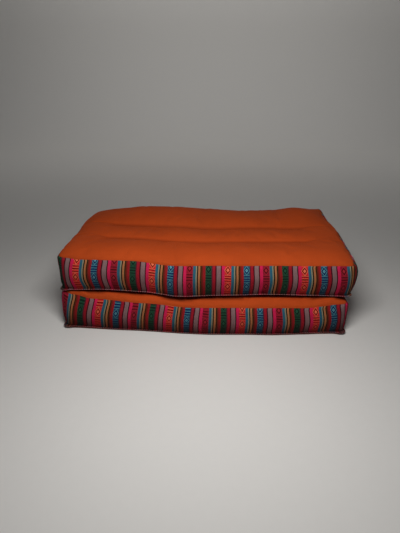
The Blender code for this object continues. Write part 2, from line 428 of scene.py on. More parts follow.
@dataclass
class SewnGrid:
    """A closed grid over a pad: a top and a bottom panel joined by the columns of a gusset."""

    shape: PadShape
    cells: ClothCells = field(default_factory=ClothCells)

    def __post_init__(self) -> None:
        """Divide the cloth, number its points and place them on the pad's form."""
        make = self.shape.make
        across = self.cells.places([0.0, make.length])
        deep = self.cells.places([0.0, *make.channels, make.depth])
        tall = self.cells.places([0.0, self.shape.upper_seam - self.shape.lower_seam])
        self.u = across / across[-1] * 2.0 - 1.0
        self.v = deep / deep[-1] * 2.0 - 1.0
        self.w = tall / tall[-1]
        self.channel_rows = [int(np.argmin(np.abs(deep - line))) for line in make.channels]
        self._number_points()
        self.points = self._place_points()

    def _number_points(self) -> None:
        """Number the gusset's points first, ring by ring, then those inside the two panels."""
        nu, nv, rings = len(self.u), len(self.v), len(self.w)
        left = [(0, j) for j in range(nv - 1, 0, -1)]
        front = [(i, 0) for i in range(nu - 1)]
        right = [(nu - 1, j) for j in range(nv - 1)]
        back = [(i, nv - 1) for i in range(nu - 1, 0, -1)]
        self.ring = np.array(left + front + right + back)
        self.front_columns = slice(len(left), len(left) + len(front) + 1)
        columns = len(self.ring)
        self.wall = np.arange(rings * columns).reshape(rings, columns)
        inner = (nv - 2) * (nu - 2)
        self.top = self._panel_numbers(self.wall[-1], rings * columns)
        self.bottom = self._panel_numbers(self.wall[0], rings * columns + inner)

    def _panel_numbers(self, rim: Array, first: int) -> Array:
        """Number the points of a panel.

        Args:
            rim: Point numbers of the gusset's ring along its edge.
            first: Number of its first point inside.

        Returns:
            Point numbers, a row for each unit place from front to back.
        """
        nu, nv = len(self.u), len(self.v)
        numbers = np.zeros((nv, nu), int)
        numbers[self.ring[:, 1], self.ring[:, 0]] = rim
        numbers[1:-1, 1:-1] = first + np.arange((nv - 2) * (nu - 2)).reshape(nv - 2, nu - 2)
        return numbers

    def _place_points(self) -> Array:
        """Place every point on the pad's form.

        Returns:
            The points in the order of their numbers, in metres.
        """
        shape = self.shape
        points = np.zeros((self.bottom.max() + 1, 3))
        u, v = np.meshgrid(self.u, self.v)
        x, y = shape.plan(u, v, np.ones_like(u))
        points[self.top] = np.stack([x, y - shape.channel_shift(u, v), shape.top_height(u, v)], -1)
        x, y = shape.plan(u, v, np.zeros_like(u))
        points[self.bottom] = np.stack([x, y, shape.underside_height(u, v)], -1)
        for row, w in enumerate(self.w):
            ring_u, ring_v = self.u[self.ring[:, 0]], self.v[self.ring[:, 1]]
            level = np.full_like(ring_u, w)
            x, y = shape.plan(ring_u, ring_v, level)
            points[self.wall[row]] = np.stack([x, y, shape.seam_height(ring_u, ring_v, level)], -1)
        return points

    def outward(self, row: int) -> Array:
        """Level directions that point out of the pad along one ring of the gusset.

        Args:
            row: Number of the ring, from the lower seam up.

        Returns:
            One direction for each point of the ring.
        """
        ring = self.points[self.wall[row]]
        run = np.roll(ring, -1, axis=0) - np.roll(ring, 1, axis=0)
        out = np.stack([run[:, 1], -run[:, 0], np.zeros(len(run))], -1)
        return out / np.linalg.norm(out, axis=1, keepdims=True)

    def quads(self) -> Array:
        """List the faces: those of the top panel, of the bottom panel, then of the gusset.

        Returns:
            Four point numbers for each face.
        """
        top, bottom = self.top, self.bottom
        up = np.stack([top[:-1, :-1], top[:-1, 1:], top[1:, 1:], top[1:, :-1]], -1)
        down = np.stack([bottom[:-1, :-1], bottom[1:, :-1], bottom[1:, 1:], bottom[:-1, 1:]], -1)
        following = np.roll(self.wall, -1, axis=1)
        side = np.stack([self.wall[:-1], following[:-1], following[1:], self.wall[1:]], -1)
        return np.concatenate([up.reshape(-1, 4), down.reshape(-1, 4), side.reshape(-1, 4)])


def mesh_piece(name: str, points: Array, faces: Array, uvs: Array, uv_name: str) -> bpy.types.Object:
    """Make a smooth mesh object at the origin.

    Args:
        name: Name of the piece.
        points: Its points, in metres.
        faces: Point numbers of its faces, one row each.
        uvs: Place on the flat cloth of each corner of each face, in metres.
        uv_name: Name of the map that holds them.

    Returns:
        The linked object.
    """
    mesh = bpy.data.meshes.new(name)
    mesh.from_pydata(points.tolist(), [], faces.tolist())
    layer = mesh.uv_layers.new(name=uv_name)
    layer.data.foreach_set("uv", uvs.astype(np.float32).ravel())
    mesh.shade_smooth()
    thing = bpy.data.objects.new(name, mesh)
    bpy.context.scene.collection.objects.link(thing)
    return thing


def set_crease(thing: bpy.types.Object, lines: list[Array], strength: float) -> None:
    """Keep lines of points sharp when the mesh is subdivided.

    Args:
        thing: The piece.
        lines: Point numbers along each line.
        strength: From 0, soft, to 1, sharp.
    """
    wanted = {frozenset(pair) for line in lines for pair in zip(line.tolist(), line[1:].tolist())}
    creases = thing.data.attributes.new("crease_edge", "FLOAT", "EDGE")
    values = [strength if frozenset(edge.vertices) in wanted else 0.0 for edge in thing.data.edges]
    creases.data.foreach_set("value", values)


def subdivide(thing: bpy.types.Object) -> None:
    """Add one level of subdivision, the same in the viewport and in a render.

    Args:
        thing: The piece.
    """
    finer = thing.modifiers.new("finer", "SUBSURF")
    finer.levels = 1
    finer.render_levels = 1


def thicken(thing: bpy.types.Object, cloth: float) -> None:
    """Give a sheet its thickness, on its outer side.

    Args:
        thing: The sheet.
        cloth: Thickness, in metres.
    """
    solid = thing.modifiers.new("cloth", "SOLIDIFY")
    solid.thickness = cloth
    solid.offset = 1.0


def evaluated_copy(thing: bpy.types.Object) -> bpy.types.Mesh:
    """The mesh of a piece with its modifiers applied."""
    graph = bpy.context.evaluated_depsgraph_get()
    return bpy.data.meshes.new_from_object(thing.evaluated_get(graph), depsgraph=graph)


@dataclass(frozen=True)
class Filling:
    """Cloth simulation that puts filling into a sewn pad and lets its cloth pucker.

    The form already has its full crown, so only the creases of the simulated cloth are kept: what each
    point moved, less the average of its neighbourhood.
    """

    pressure: float = 4.0
    spare_cloth: float = 0.020
    mass: float = 0.25
    stiffness: float = 0.4
    quality: int = 4
    frames: int = 20
    neighbourhood: int = 14
    kept: float = 0.7
    cap: float = 0.0020

    def creases(self, thing: bpy.types.Object, held: Array) -> Array:
        """Fill a pad and measure the creases of its cloth.

        Args:
            thing: The closed pad, which is left as it was.
            held: Point numbers that sewing or contact holds in place.

        Returns:
            How far each point moves, in metres.
        """
        sewn = thing.vertex_groups.new(name="held")
        sewn.add(held.tolist(), 1.0, "REPLACE")
        cloth = thing.modifiers.new("filling", "CLOTH")
        settings = cloth.settings
        settings.quality = self.quality
        settings.mass = self.mass
        settings.bending_stiffness = self.stiffness
        settings.use_pressure = True
        settings.uniform_pressure_force = self.pressure
        settings.shrink_min = -self.spare_cloth
        settings.vertex_group_mass = sewn.name
        settings.effector_weights.gravity = 0.0
        cloth.point_cache.frame_start = 1
        cloth.point_cache.frame_end = self.frames
        for number in range(1, self.frames + 1):
            bpy.context.scene.frame_set(number)
        graph = bpy.context.evaluated_depsgraph_get()
        filled = thing.evaluated_get(graph).to_mesh()
        after = read_points(filled)
        before = read_points(thing.data)
        thing.evaluated_get(graph).to_mesh_clear()
        thing.modifiers.remove(cloth)
        thing.vertex_groups.remove(sewn)
        bpy.context.scene.frame_set(1)
        return self._without_swelling(thing.data, after - before)

    def _without_swelling(self, mesh: bpy.types.Mesh, moved: Array) -> Array:
        """Take the broad swelling out of how far the points moved, and cap what is left.

        Args:
            mesh: The pad's mesh, for which points are neighbours.
            moved: How far each point moved, in metres.

        Returns:
            How far each point moves in the creases alone, in metres.
        """
        pairs = np.zeros(len(mesh.edges) * 2, int)
        mesh.edges.foreach_get("vertices", pairs)
        a, b = pairs.reshape(-1, 2).T
        count = np.bincount(pairs, minlength=len(moved))[:, None]
        broad = moved.copy()
        for _ in range(self.neighbourhood):
            total = np.zeros_like(broad)
            np.add.at(total, a, broad[b])
            np.add.at(total, b, broad[a])
            broad = (broad + total / count) / 2.0
        crease = (moved - broad) * self.kept
        size = np.linalg.norm(crease, axis=1, keepdims=True)
        return crease * np.minimum(1.0, self.cap / np.maximum(size, TINY))


def read_points(mesh: bpy.types.Mesh) -> Array:
    """Read the points of a mesh.

    Args:
        mesh: The mesh.

    Returns:
        An array with a row for each point, in metres.
    """
    points = np.zeros(len(mesh.vertices) * 3, np.float32)
    mesh.vertices.foreach_get("co", points)
    return points.reshape(-1, 3).astype(float)


class Coat(NamedTuple):
    """How fibres shine: plain reflection, and the soft light that loose fibres catch."""

    shine: float
    sheen: float
    sheen_tint: Colour
    roughness: float = 0.82
    sheen_roughness: float = 0.5


class Nodes:
    """Adds and links the nodes of one tree."""

    def __init__(self, tree: bpy.types.NodeTree) -> None:
        """Start on a tree."""
        self.tree = tree

    def feed(self, socket: Socket, value: Value) -> None:
        """Link a socket into another, or set it to a constant.

        Args:
            socket: The input.
            value: A node's output, or the constant.
        """
        if isinstance(value, Socket):
            self.tree.links.new(value, socket)
        else:
            socket.default_value = value

    def node(self, kind: str, feeds: dict[str | int, Value] | None = None, **settings: str) -> bpy.types.Node:
        """Add a node.

        Args:
            kind: Blender's name for the kind of node.
            feeds: What goes into its inputs, by their name or number.
            settings: Its settings, by name.

        Returns:
            The node.
        """
        made = self.tree.nodes.new(kind)
        for name, value in settings.items():
            setattr(made, name, value)
        for socket, value in (feeds or {}).items():
            self.feed(made.inputs[socket], value)
        return made

    def first(self, kind: str, feeds: dict[str | int, Value] | None = None, **settings: str) -> Socket:
        """Add a node as node() does, and give its first output."""
        return self.node(kind, feeds, **settings).outputs[0]


class Wiring(Nodes):
    """Adds and links the shader nodes of one material."""

    def __init__(self, name: str) -> None:
        """Start a material with a Principled shader.

        Args:
            name: Name of the material.
        """
        self.material = bpy.data.materials.new(name)
        self.material.use_nodes = True
        super().__init__(self.material.node_tree)
        self.shader = self.tree.nodes["Principled BSDF"]

    def math(self, operation: str, *values: Value) -> Socket:
        """Result of a math node, from a socket or a number for each of its inputs."""
        return self.first("ShaderNodeMath", dict(enumerate(values)), operation=operation)

    def mix(self, share: Value, a: Value, b: Value, blend: str = "MIX") -> Socket:
        """Two colours mixed by a share of the second, in one of Blender's ways."""
        made = self.node("ShaderNodeMix", {0: share, 6: a, 7: b}, data_type="RGBA", blend_type=blend)
        return made.outputs[2]

    def ramp(self, place: Value, stops: list[tuple[float, Colour]]) -> Socket:
        """Look a colour up in bands that each start at a stop.

        Args:
            place: Where to look, from 0 to 1.
            stops: Start and colour of each band, in order.

        Returns:
            The colour's socket.
        """
        made = self.node("ShaderNodeValToRGB", {0: place})
        made.color_ramp.interpolation = "CONSTANT"
        elements = made.color_ramp.elements
        for _ in range(len(stops) - len(elements)):
            elements.new(1.0)
        for element, (start, colour) in zip(elements, stops):
            element.position = start
            element.color = colour
        return made.outputs[0]

    def noise(self, place: Value, scale: float, detail: float = 2.0) -> Socket:
        """Even noise at a place, from 0 to 1."""
        return self.first("ShaderNodeTexNoise", {"Vector": place, "Scale": scale, "Detail": detail})

    def object_place(self) -> Socket:
        """Place on the object, in metres."""
        return self.node("ShaderNodeTexCoord").outputs["Object"]

    def cloth_place(self, uv_name: str) -> tuple[Socket, Socket]:
        """Place on the flat cloth, in metres: along it and across it."""
        split = self.node("ShaderNodeSeparateXYZ", {0: self.first("ShaderNodeUVMap", uv_map=uv_name)})
        return split.outputs[0], split.outputs[1]

    def painted(self, name: str) -> Socket:
        """A value that the mesh holds at each point."""
        return self.node("ShaderNodeAttribute", attribute_name=name).outputs["Fac"]

    def stretched(self, x: Value, y: Value, scales: Range) -> Socket:
        """A place scaled by its own amount each way, for noise drawn out into streaks."""
        scaled = [self.math("MULTIPLY", value, scale) for value, scale in zip((x, y), scales)]
        return self.first("ShaderNodeCombineXYZ", dict(enumerate(scaled)))

    def around(self, value: Value, span: Range) -> Socket:
        """A value from 0 to 1 brought into a narrower span."""
        return self.first("ShaderNodeMapRange", {"Value": value, "To Min": span[0], "To Max": span[1]})

    def tint(self, colour: Value, *shares: Value) -> Socket:
        """Darken or lighten a colour by each share in turn.

        Args:
            colour: The colour.
            shares: What it is multiplied by, 1 leaving it as it is.

        Returns:
            The colour's socket.
        """
        if isinstance(colour, tuple):
            colour = colour[:3]
        for share in shares:
            colour = self.first("ShaderNodeVectorMath", {0: colour, "Scale": share}, operation="SCALE")
        return colour

    def bump(self, height: Value, depth: float) -> None:
        """Raise the surface by a height from 0 to 1, times a depth in metres."""
        raised = self.first("ShaderNodeBump", {"Strength": 1.0, "Distance": depth, "Height": height})
        self.feed(self.shader.inputs["Normal"], raised)

    def finish(self, colour: Value, coat: Coat) -> bpy.types.Material:
        """Set what is left of the shader.

        Args:
            colour: Base colour.
            coat: How the fibres shine.

        Returns:
            The material.
        """
        self.feed(self.shader.inputs["Base Color"], colour)
        self.shader.inputs["Roughness"].default_value = coat.roughness
        self.shader.inputs["Specular IOR Level"].default_value = coat.shine
        self.shader.inputs["Sheen Weight"].default_value = coat.sheen
        self.shader.inputs["Sheen Roughness"].default_value = coat.sheen_roughness
        self.shader.inputs["Sheen Tint"].default_value = coat.sheen_tint
        return self.material


@dataclass(frozen=True)
class OrangeCotton:
    """Plain-woven orange cotton, a little slubby, with painted shade along its seams and in the crevice under
    the pad above, and dust and painted shade in its channels.
    """

    name: str = "orange_cotton_weave"
    uv_name: str = "cloth"
    dye: Colour = linear(186, 72, 25)
    coat: Coat = Coat(0.10, 0.06, linear(255, 120, 50))
    thread: float = 0.00055
    relief: float = 0.00016
    slub_relief: float = 1.5
    slub_length: float = 14.0
    slub_width: float = 900.0
    slub_detail: float = 3.0
    mottle_scale: float = 9.0
    mottle_detail: float = 4.0
    thread_tint: Range = (0.90, 1.04)
    crossing_tint: Range = (0.99, 1.02)
    slub_tint: Range = (0.84, 1.16)
    mottle_tint: Range = (0.88, 1.12)
    # How far dust and painted shade darken the cloth, from none to full.
    dust_and_shade_tint: Range = (1.0, 0.30)

    def build(self) -> bpy.types.Material:
        """Make the material.

        Returns:
            The material.
        """
        wires = Wiring(self.name)
        along, across = wires.cloth_place(self.uv_name)
        warp = wires.math("SINE", wires.math("MULTIPLY", along, math.pi / self.thread))
        weft = wires.math("SINE", wires.math("MULTIPLY", across, math.pi / self.thread))
        crossing = wires.math("MULTIPLY", warp, weft)
        over = wires.math("ABSOLUTE", crossing)
        slub_along, slub_across = (
            wires.noise(wires.stretched(along, across, scales), 1.0, self.slub_detail)
            for scales in ((self.slub_length, self.slub_width), (self.slub_width, self.slub_length))
        )
        slubs = wires.math("MULTIPLY", wires.math("ADD", slub_along, slub_across), 0.5)
        mottle = wires.noise(wires.object_place(), self.mottle_scale, self.mottle_detail)
        colour = wires.tint(
            self.dye,
            wires.around(over, self.thread_tint),
            wires.around(crossing, self.crossing_tint),
            wires.around(slubs, self.slub_tint),
            wires.around(mottle, self.mottle_tint),
            # Dust and painted shade darken the cloth in its channels, along its seams and under the pad
            # above.
            wires.around(wires.painted("dust_and_shade"), self.dust_and_shade_tint),
        )
        wires.bump(wires.math("ADD", over, wires.math("MULTIPLY", slubs, self.slub_relief)), self.relief)
        return wires.finish(colour, self.coat)


class Stripe(NamedTuple):
    """One stripe of the striped cloth: its width in warp threads and its dye."""

    threads: int
    dye: Colour


class MotifDyes(NamedTuple):
    """Dyes of a figured stripe: its ground, its dark figure and its light outline."""

    ground: Colour
    dark: Colour
    light: Colour


@dataclass(frozen=True)
class StripedWeave:
    """Warp-striped cloth with two figured stripes, in which stepped diamonds alternate with bars.

    The stripes repeat, but each figured stripe has another pair of dyes in every second repeat.
    """

    name: str = "striped_weave"
    uv_name: str = "cloth"
    coat: Coat = Coat(0.06, 0.02, linear(235, 215, 220))
    thread: float = 0.00048
    pick: float = 0.00092
    repeat_picks: int = 48
    relief: float = 0.00030
    warp_relief: float = 0.5
    # How far painted shade fades the light figures into the ground, and the dark ones by a share of that.
    shade_fade: float = 0.80
    dark_shade_fade: float = 0.6
    reverse: Colour = linear(176, 116, 118)
    reverse_share: float = 0.25
    # Colour that painted shade multiplies the gusset by, towards its lower seam and on its welt.
    painted_shade: Colour = (0.25, 0.12, 0.11, 1.0)
    uneven_scales: Range = (7.3, 40.0)
    mottle_scale: float = 11.0
    mottle_detail: float = 3.0
    weft_tint: Range = (0.84, 1.06)
    warp_tint: Range = (0.94, 1.03)
    uneven_tint: Range = (0.80, 1.20)
    mottle_tint: Range = (0.90, 1.10)
    warm_start: int = 15
    warm_threads: int = 32
    cool_start: int = 110
    cool_threads: int = 30
    stripes: tuple[Stripe, ...] = (
        Stripe(15, linear(212, 34, 82)),
        Stripe(32, linear(184, 42, 40)),
        Stripe(15, linear(46, 98, 118)),
        Stripe(6, linear(148, 140, 112)),
        Stripe(5, linear(26, 10, 6)),
        Stripe(11, linear(176, 112, 70)),
        Stripe(6, linear(44, 36, 10)),
        Stripe(8, linear(110, 36, 24)),
        Stripe(12, linear(152, 30, 34)),
        Stripe(30, linear(30, 70, 90)),
        Stripe(5, linear(84, 32, 48)),
        Stripe(14, linear(160, 28, 42)),
        Stripe(5, linear(66, 10, 24)),
        Stripe(21, linear(138, 108, 108)),
        Stripe(6, linear(48, 8, 8)),
    )
    diamond: tuple[tuple[float, Figure], ...] = (
        (0.0, Figure.GROUND),
        (0.07, Figure.LIGHT),
        (0.22, Figure.DARK),
        (0.46, Figure.LIGHT),
        (0.53, Figure.GROUND),
    )
    bars: tuple[tuple[float, Figure], ...] = (
        (0.0, Figure.GROUND),
        (13.5, Figure.LIGHT),
        (14.5, Figure.DARK),
        (17.5, Figure.GROUND),
        (20.5, Figure.LIGHT),
        (21.5, Figure.DARK),
    )
    bars_from: float = 0.55
    warm: tuple[MotifDyes, MotifDyes] = (
        MotifDyes(linear(212, 46, 46), linear(136, 8, 12), linear(252, 136, 92)),
        MotifDyes(linear(146, 24, 44), linear(94, 9, 23), linear(178, 50, 56)),
    )
    cool: tuple[MotifDyes, MotifDyes] = (
        MotifDyes(linear(36, 82, 104), linear(8, 38, 84), linear(104, 168, 180)),
        MotifDyes(linear(33, 65, 46), linear(18, 42, 31), linear(42, 94, 68)),
    )

    @property
    def half_repeat(self) -> int:
        """Warp threads before the stripes repeat."""
        return sum(stripe.threads for stripe in self.stripes)

    @property
    def warm_centre(self) -> float:
        """Place on the cloth, in metres, of the middle of its first figured stripe."""
        return (self.warm_start + self.warm_threads / 2) * self.thread

    def _figure(self, wires: Wiring, from_middle: Value, from_diamond: Value) -> Socket:
        """Chart the figures, as the codes of Figure.

        Args:
            wires: The material's wiring.
            from_middle: Threads from the middle of the stripe.
            from_diamond: Picks from the middle of the nearest diamond.

        Returns:
            The chart's socket.
        """
        half = self.repeat_picks / 2
        across = wires.math("DIVIDE", from_middle, self.warm_threads / 2)
        diamond = wires.math("ADD", across, wires.math("DIVIDE", from_diamond, half / 2))
        rings = [(place, code.shade) for place, code in self.diamond]
        bars = [(pick / half, code.shade) for pick, code in self.bars]
        rings_code = wires.ramp(wires.math("MULTIPLY", diamond, 0.5), rings)
        bars_code = wires.ramp(wires.math("DIVIDE", from_diamond, half), bars)
        in_bars = wires.math("GREATER_THAN", from_diamond, half * self.bars_from)
        return wires.mix(in_bars, rings_code, bars_code)

    def _figured(
        self, wires: Wiring, figure: Value, second: Value, shade_fade: Value, pair: tuple[MotifDyes, ...]
    ) -> Socket:
        """Colour one figured stripe.

        Args:
            wires: The material's wiring.
            figure: The chart.
            second: 1 in every second repeat, and 0 elsewhere.
            shade_fade: How far painted shade has faded its light figures into the ground.
            pair: Its dyes in one repeat and in the next.

        Returns:
            The colour's socket.
        """
        ground, dark, light = (wires.mix(second, a, b) for a, b in zip(*pair))
        light = wires.mix(shade_fade, light, ground)
        dark = wires.mix(wires.math("MULTIPLY", shade_fade, self.dark_shade_fade), dark, ground)
        is_dark, is_light = (
            wires.math("COMPARE", figure, code.value, Figure.DARK.value / 2)
            for code in (Figure.DARK, Figure.LIGHT)
        )
        return wires.mix(is_light, wires.mix(is_dark, ground, dark), light)

    def _dyed(self, wires: Wiring, thread: Value, pick: Value, shade_fade: Value) -> Socket:
        """Colour every warp thread, plain and figured.

        Args:
            wires: The material's wiring.
            thread: Number of the warp thread.
            pick: Number of the pick.
            shade_fade: How far painted shade has faded the light figures.

        Returns:
            The colour's socket.
        """
        count = float(self.half_repeat)
        in_repeat = wires.math("FLOORED_MODULO", thread, count)
        repeat = wires.math("FLOOR", wires.math("DIVIDE", thread, count))
        second = wires.math("FLOORED_MODULO", repeat, 2.0)
        stops, start = [], 0
        for stripe in self.stripes:
            stops.append(((start - 0.5) / self.half_repeat if start else 0.0, stripe.dye))
            start += stripe.threads
        colour = wires.ramp(wires.math("DIVIDE", in_repeat, count), stops)
        half = self.repeat_picks / 2
        folded = wires.math("FLOORED_MODULO", wires.math("ADD", pick, half), float(self.repeat_picks))
        from_diamond = wires.math("ABSOLUTE", wires.math("SUBTRACT", folded, half))
        for start, width, pair in (
            (self.warm_start, self.warm_threads, self.warm),
            (self.cool_start, self.cool_threads, self.cool),
        ):
            middle = start + (width - 1) / 2
            from_middle = wires.math("ABSOLUTE", wires.math("SUBTRACT", in_repeat, middle))
            figure = self._figure(wires, from_middle, from_diamond)
            inside = wires.math("LESS_THAN", from_middle, width / 2)
            colour = wires.mix(inside, colour, self._figured(wires, figure, second, shade_fade, pair))
        return colour

    def build(self) -> bpy.types.Material:
        """Make the material.

        Returns:
            The material.
        """
        wires = Wiring(self.name)
        along, up = wires.cloth_place(self.uv_name)
        threads = wires.math("DIVIDE", along, self.thread)
        picks = wires.math("DIVIDE", up, self.pick)
        thread = wires.math("FLOOR", threads)
        # Painted shade darkens the gusset towards its lower seam and on its welt.
        turned, painted_shade = wires.painted("turned_edge"), wires.painted("painted_shade")
        # Painted shade also fades the figures into their ground.
        shade_fade = wires.math("MULTIPLY", painted_shade, self.shade_fade)
        colour = self._dyed(wires, thread, wires.math("FLOOR", picks), shade_fade)
        colour = wires.mix(wires.math("MULTIPLY", turned, self.reverse_share), colour, self.reverse)
        colour = wires.mix(painted_shade, colour, self.painted_shade, "MULTIPLY")
        warp, weft = (
            wires.math("ABSOLUTE", wires.math("SINE", wires.math("MULTIPLY", lines, math.pi)))
            for lines in (threads, picks)
        )
        uneven = wires.noise(wires.stretched(thread, up, self.uneven_scales), 1.0)
        mottle = wires.noise(wires.object_place(), self.mottle_scale, self.mottle_detail)
        colour = wires.tint(
            colour,
            wires.around(weft, self.weft_tint),
            wires.around(warp, self.warp_tint),
            wires.around(uneven, self.uneven_tint),
            wires.around(mottle, self.mottle_tint),
        )
        wires.bump(wires.math("ADD", weft, wires.math("MULTIPLY", warp, self.warp_relief)), self.relief)
        return wires.finish(colour, self.coat)


@dataclass(frozen=True)
class SewingThread:
    """Twisted sewing thread in one dye."""

    name: str
    dye: Colour
    fuzz_scale: float = 900.0
    fuzz_detail: float = 3.0
    fuzz_relief: float = 0.0001
    fuzz_tint: Range = (0.80, 1.15)
    shine: float = 0.20
    sheen: float = 0.10

    def build(self) -> bpy.types.Material:
        """Make the material.

        Returns:
            The material.
        """
        wires = Wiring(self.name)
        fuzz = wires.noise(wires.object_place(), self.fuzz_scale, self.fuzz_detail)
        wires.bump(fuzz, self.fuzz_relief)
        colour = wires.tint(self.dye, wires.around(fuzz, self.fuzz_tint))
        return wires.finish(colour, Coat(self.shine, self.sheen, self.dye))


@dataclass(frozen=True)
class PaleFloor:
    """Plain pale paper of the studio's floor and backdrop."""

    name: str = "pale_floor"
    dye: Colour = linear(228, 225, 220)
    grain_scale: float = 60.0
    grain_detail: float = 4.0
    grain_tint: Range = (0.985, 1.015)
    shine: float = 0.10

    def build(self) -> bpy.types.Material:
        """Make the material.

        Returns:
            The material.
        """
        wires = Wiring(self.name)
        grain = wires.noise(wires.object_place(), self.grain_scale, self.grain_detail)
        colour = wires.tint(self.dye, wires.around(grain, self.grain_tint))
        return wires.finish(colour, Coat(self.shine, 0.0, self.dye))


@dataclass(frozen=True)
class StitchRun:
    """A run of stitches along a sewn line, made by Geometry Nodes and left as a plain mesh."""

    name: str
    pitch: float
    length: float
    thick: float
    wander: float
    seed: int
    thread: bpy.types.Material
    sides: int = 7
    rings: int = 5

    def _tree(self) -> bpy.types.NodeTree:
        """Make the node tree that lays a long bead of thread on a line at every pitch.

        Returns:
            The tree, with named inputs for its sizes.
        """
        tree = bpy.data.node_groups.new(self.name + "_run", "GeometryNodeTree")
        inputs = {
            "Geometry": "NodeSocketGeometry",
            "Pitch": "NodeSocketFloat",
            "Stitch length": "NodeSocketFloat",
            "Thread thickness": "NodeSocketFloat",
            "Wander": "NodeSocketFloat",
            "Seed": "NodeSocketInt",
            "Thread": "NodeSocketMaterial",
        }
        for label, kind in inputs.items():
            tree.interface.new_socket(label, in_out="INPUT", socket_type=kind)
        tree.interface.new_socket("Geometry", in_out="OUTPUT", socket_type="NodeSocketGeometry")
        nodes = Nodes(tree)
        given = nodes.node("NodeGroupInput").outputs
        curve = nodes.first("GeometryNodeMeshToCurve", {"Mesh": given["Geometry"]})
        spaced = {"Curve": curve, "Length": given["Pitch"]}
        places = nodes.first("GeometryNodeResampleCurve", spaced, mode="LENGTH")
        tangent = nodes.first("GeometryNodeInputTangent")
        turn = nodes.first("FunctionNodeAlignRotationToVector", {"Vector": tangent}, axis="X")
        wander = given["Wander"]
        back = nodes.first("ShaderNodeMath", {0: wander, 1: -1.0}, operation="MULTIPLY")
        low, high = (nodes.first("ShaderNodeCombineXYZ", {"Y": most, "Z": most}) for most in (back, wander))
        limits = {"Min": low, "Max": high, "Seed": given["Seed"]}
        jitter = nodes.first("FunctionNodeRandomValue", limits, data_type="FLOAT_VECTOR")
        euler = nodes.first("FunctionNodeEulerToRotation", {"Euler": jitter})
        turns = {"Rotation": turn, "Rotate By": euler}
        bend = nodes.first("FunctionNodeRotateRotation", turns, rotation_space="LOCAL")
        ball = {"Segments": self.sides, "Rings": self.rings, "Radius": 0.5}
        bead = nodes.first("GeometryNodeMeshUVSphere", ball)
        sizes = {"X": given["Stitch length"], "Y": given["Thread thickness"], "Z": given["Thread thickness"]}
        size = nodes.first("ShaderNodeCombineXYZ", sizes)
        shaped = nodes.first("GeometryNodeTransform", {"Geometry": bead, "Scale": size})
        stitches = {"Points": places, "Instance": shaped, "Rotation": bend}
        laid = nodes.first("GeometryNodeInstanceOnPoints", stitches)
        real = nodes.first("GeometryNodeRealizeInstances", {"Geometry": laid})
        dressed = nodes.first("GeometryNodeSetMaterial", {"Geometry": real, "Material": given["Thread"]})
        nodes.node("NodeGroupOutput", {"Geometry": dressed})
        return tree

    def sew(self, lines: list[Array]) -> bpy.types.Object:
        """Lay the stitches along the lines.

        Args:
            lines: Points along each sewn line, in metres.

        Returns:
            The stitches as one plain mesh.
        """
        points, edges = [], []
        for line in lines:
            first = len(points)
            points += line.tolist()
            edges += [(first + i, first + i + 1) for i in range(len(line) - 1)]
        mesh = bpy.data.meshes.new(self.name)
        mesh.from_pydata(points, edges, [])
        thing = bpy.data.objects.new(self.name, mesh)
        bpy.context.scene.collection.objects.link(thing)
        tree = self._tree()
        run = thing.modifiers.new("stitches", "NODES")
        run.node_group = tree
        values = {
            "Pitch": self.pitch,
            "Stitch length": self.length,
            "Thread thickness": self.thick,
            "Wander": self.wander,
            "Seed": self.seed,
            "Thread": self.thread,
        }
        for item in tree.interface.items_tree:
            if item.name in values:
                run[item.identifier] = values[item.name]
        sewn = evaluated_copy(thing)
        thing.modifiers.clear()
        thing.data = sewn
        sewn.shade_smooth()
        return thing


@dataclass(frozen=True)
class Finishes:
    """The materials that the pieces share."""

    orange: bpy.types.Material
    striped: bpy.types.Material
    orange_thread: bpy.types.Material
    pale_thread: bpy.types.Material


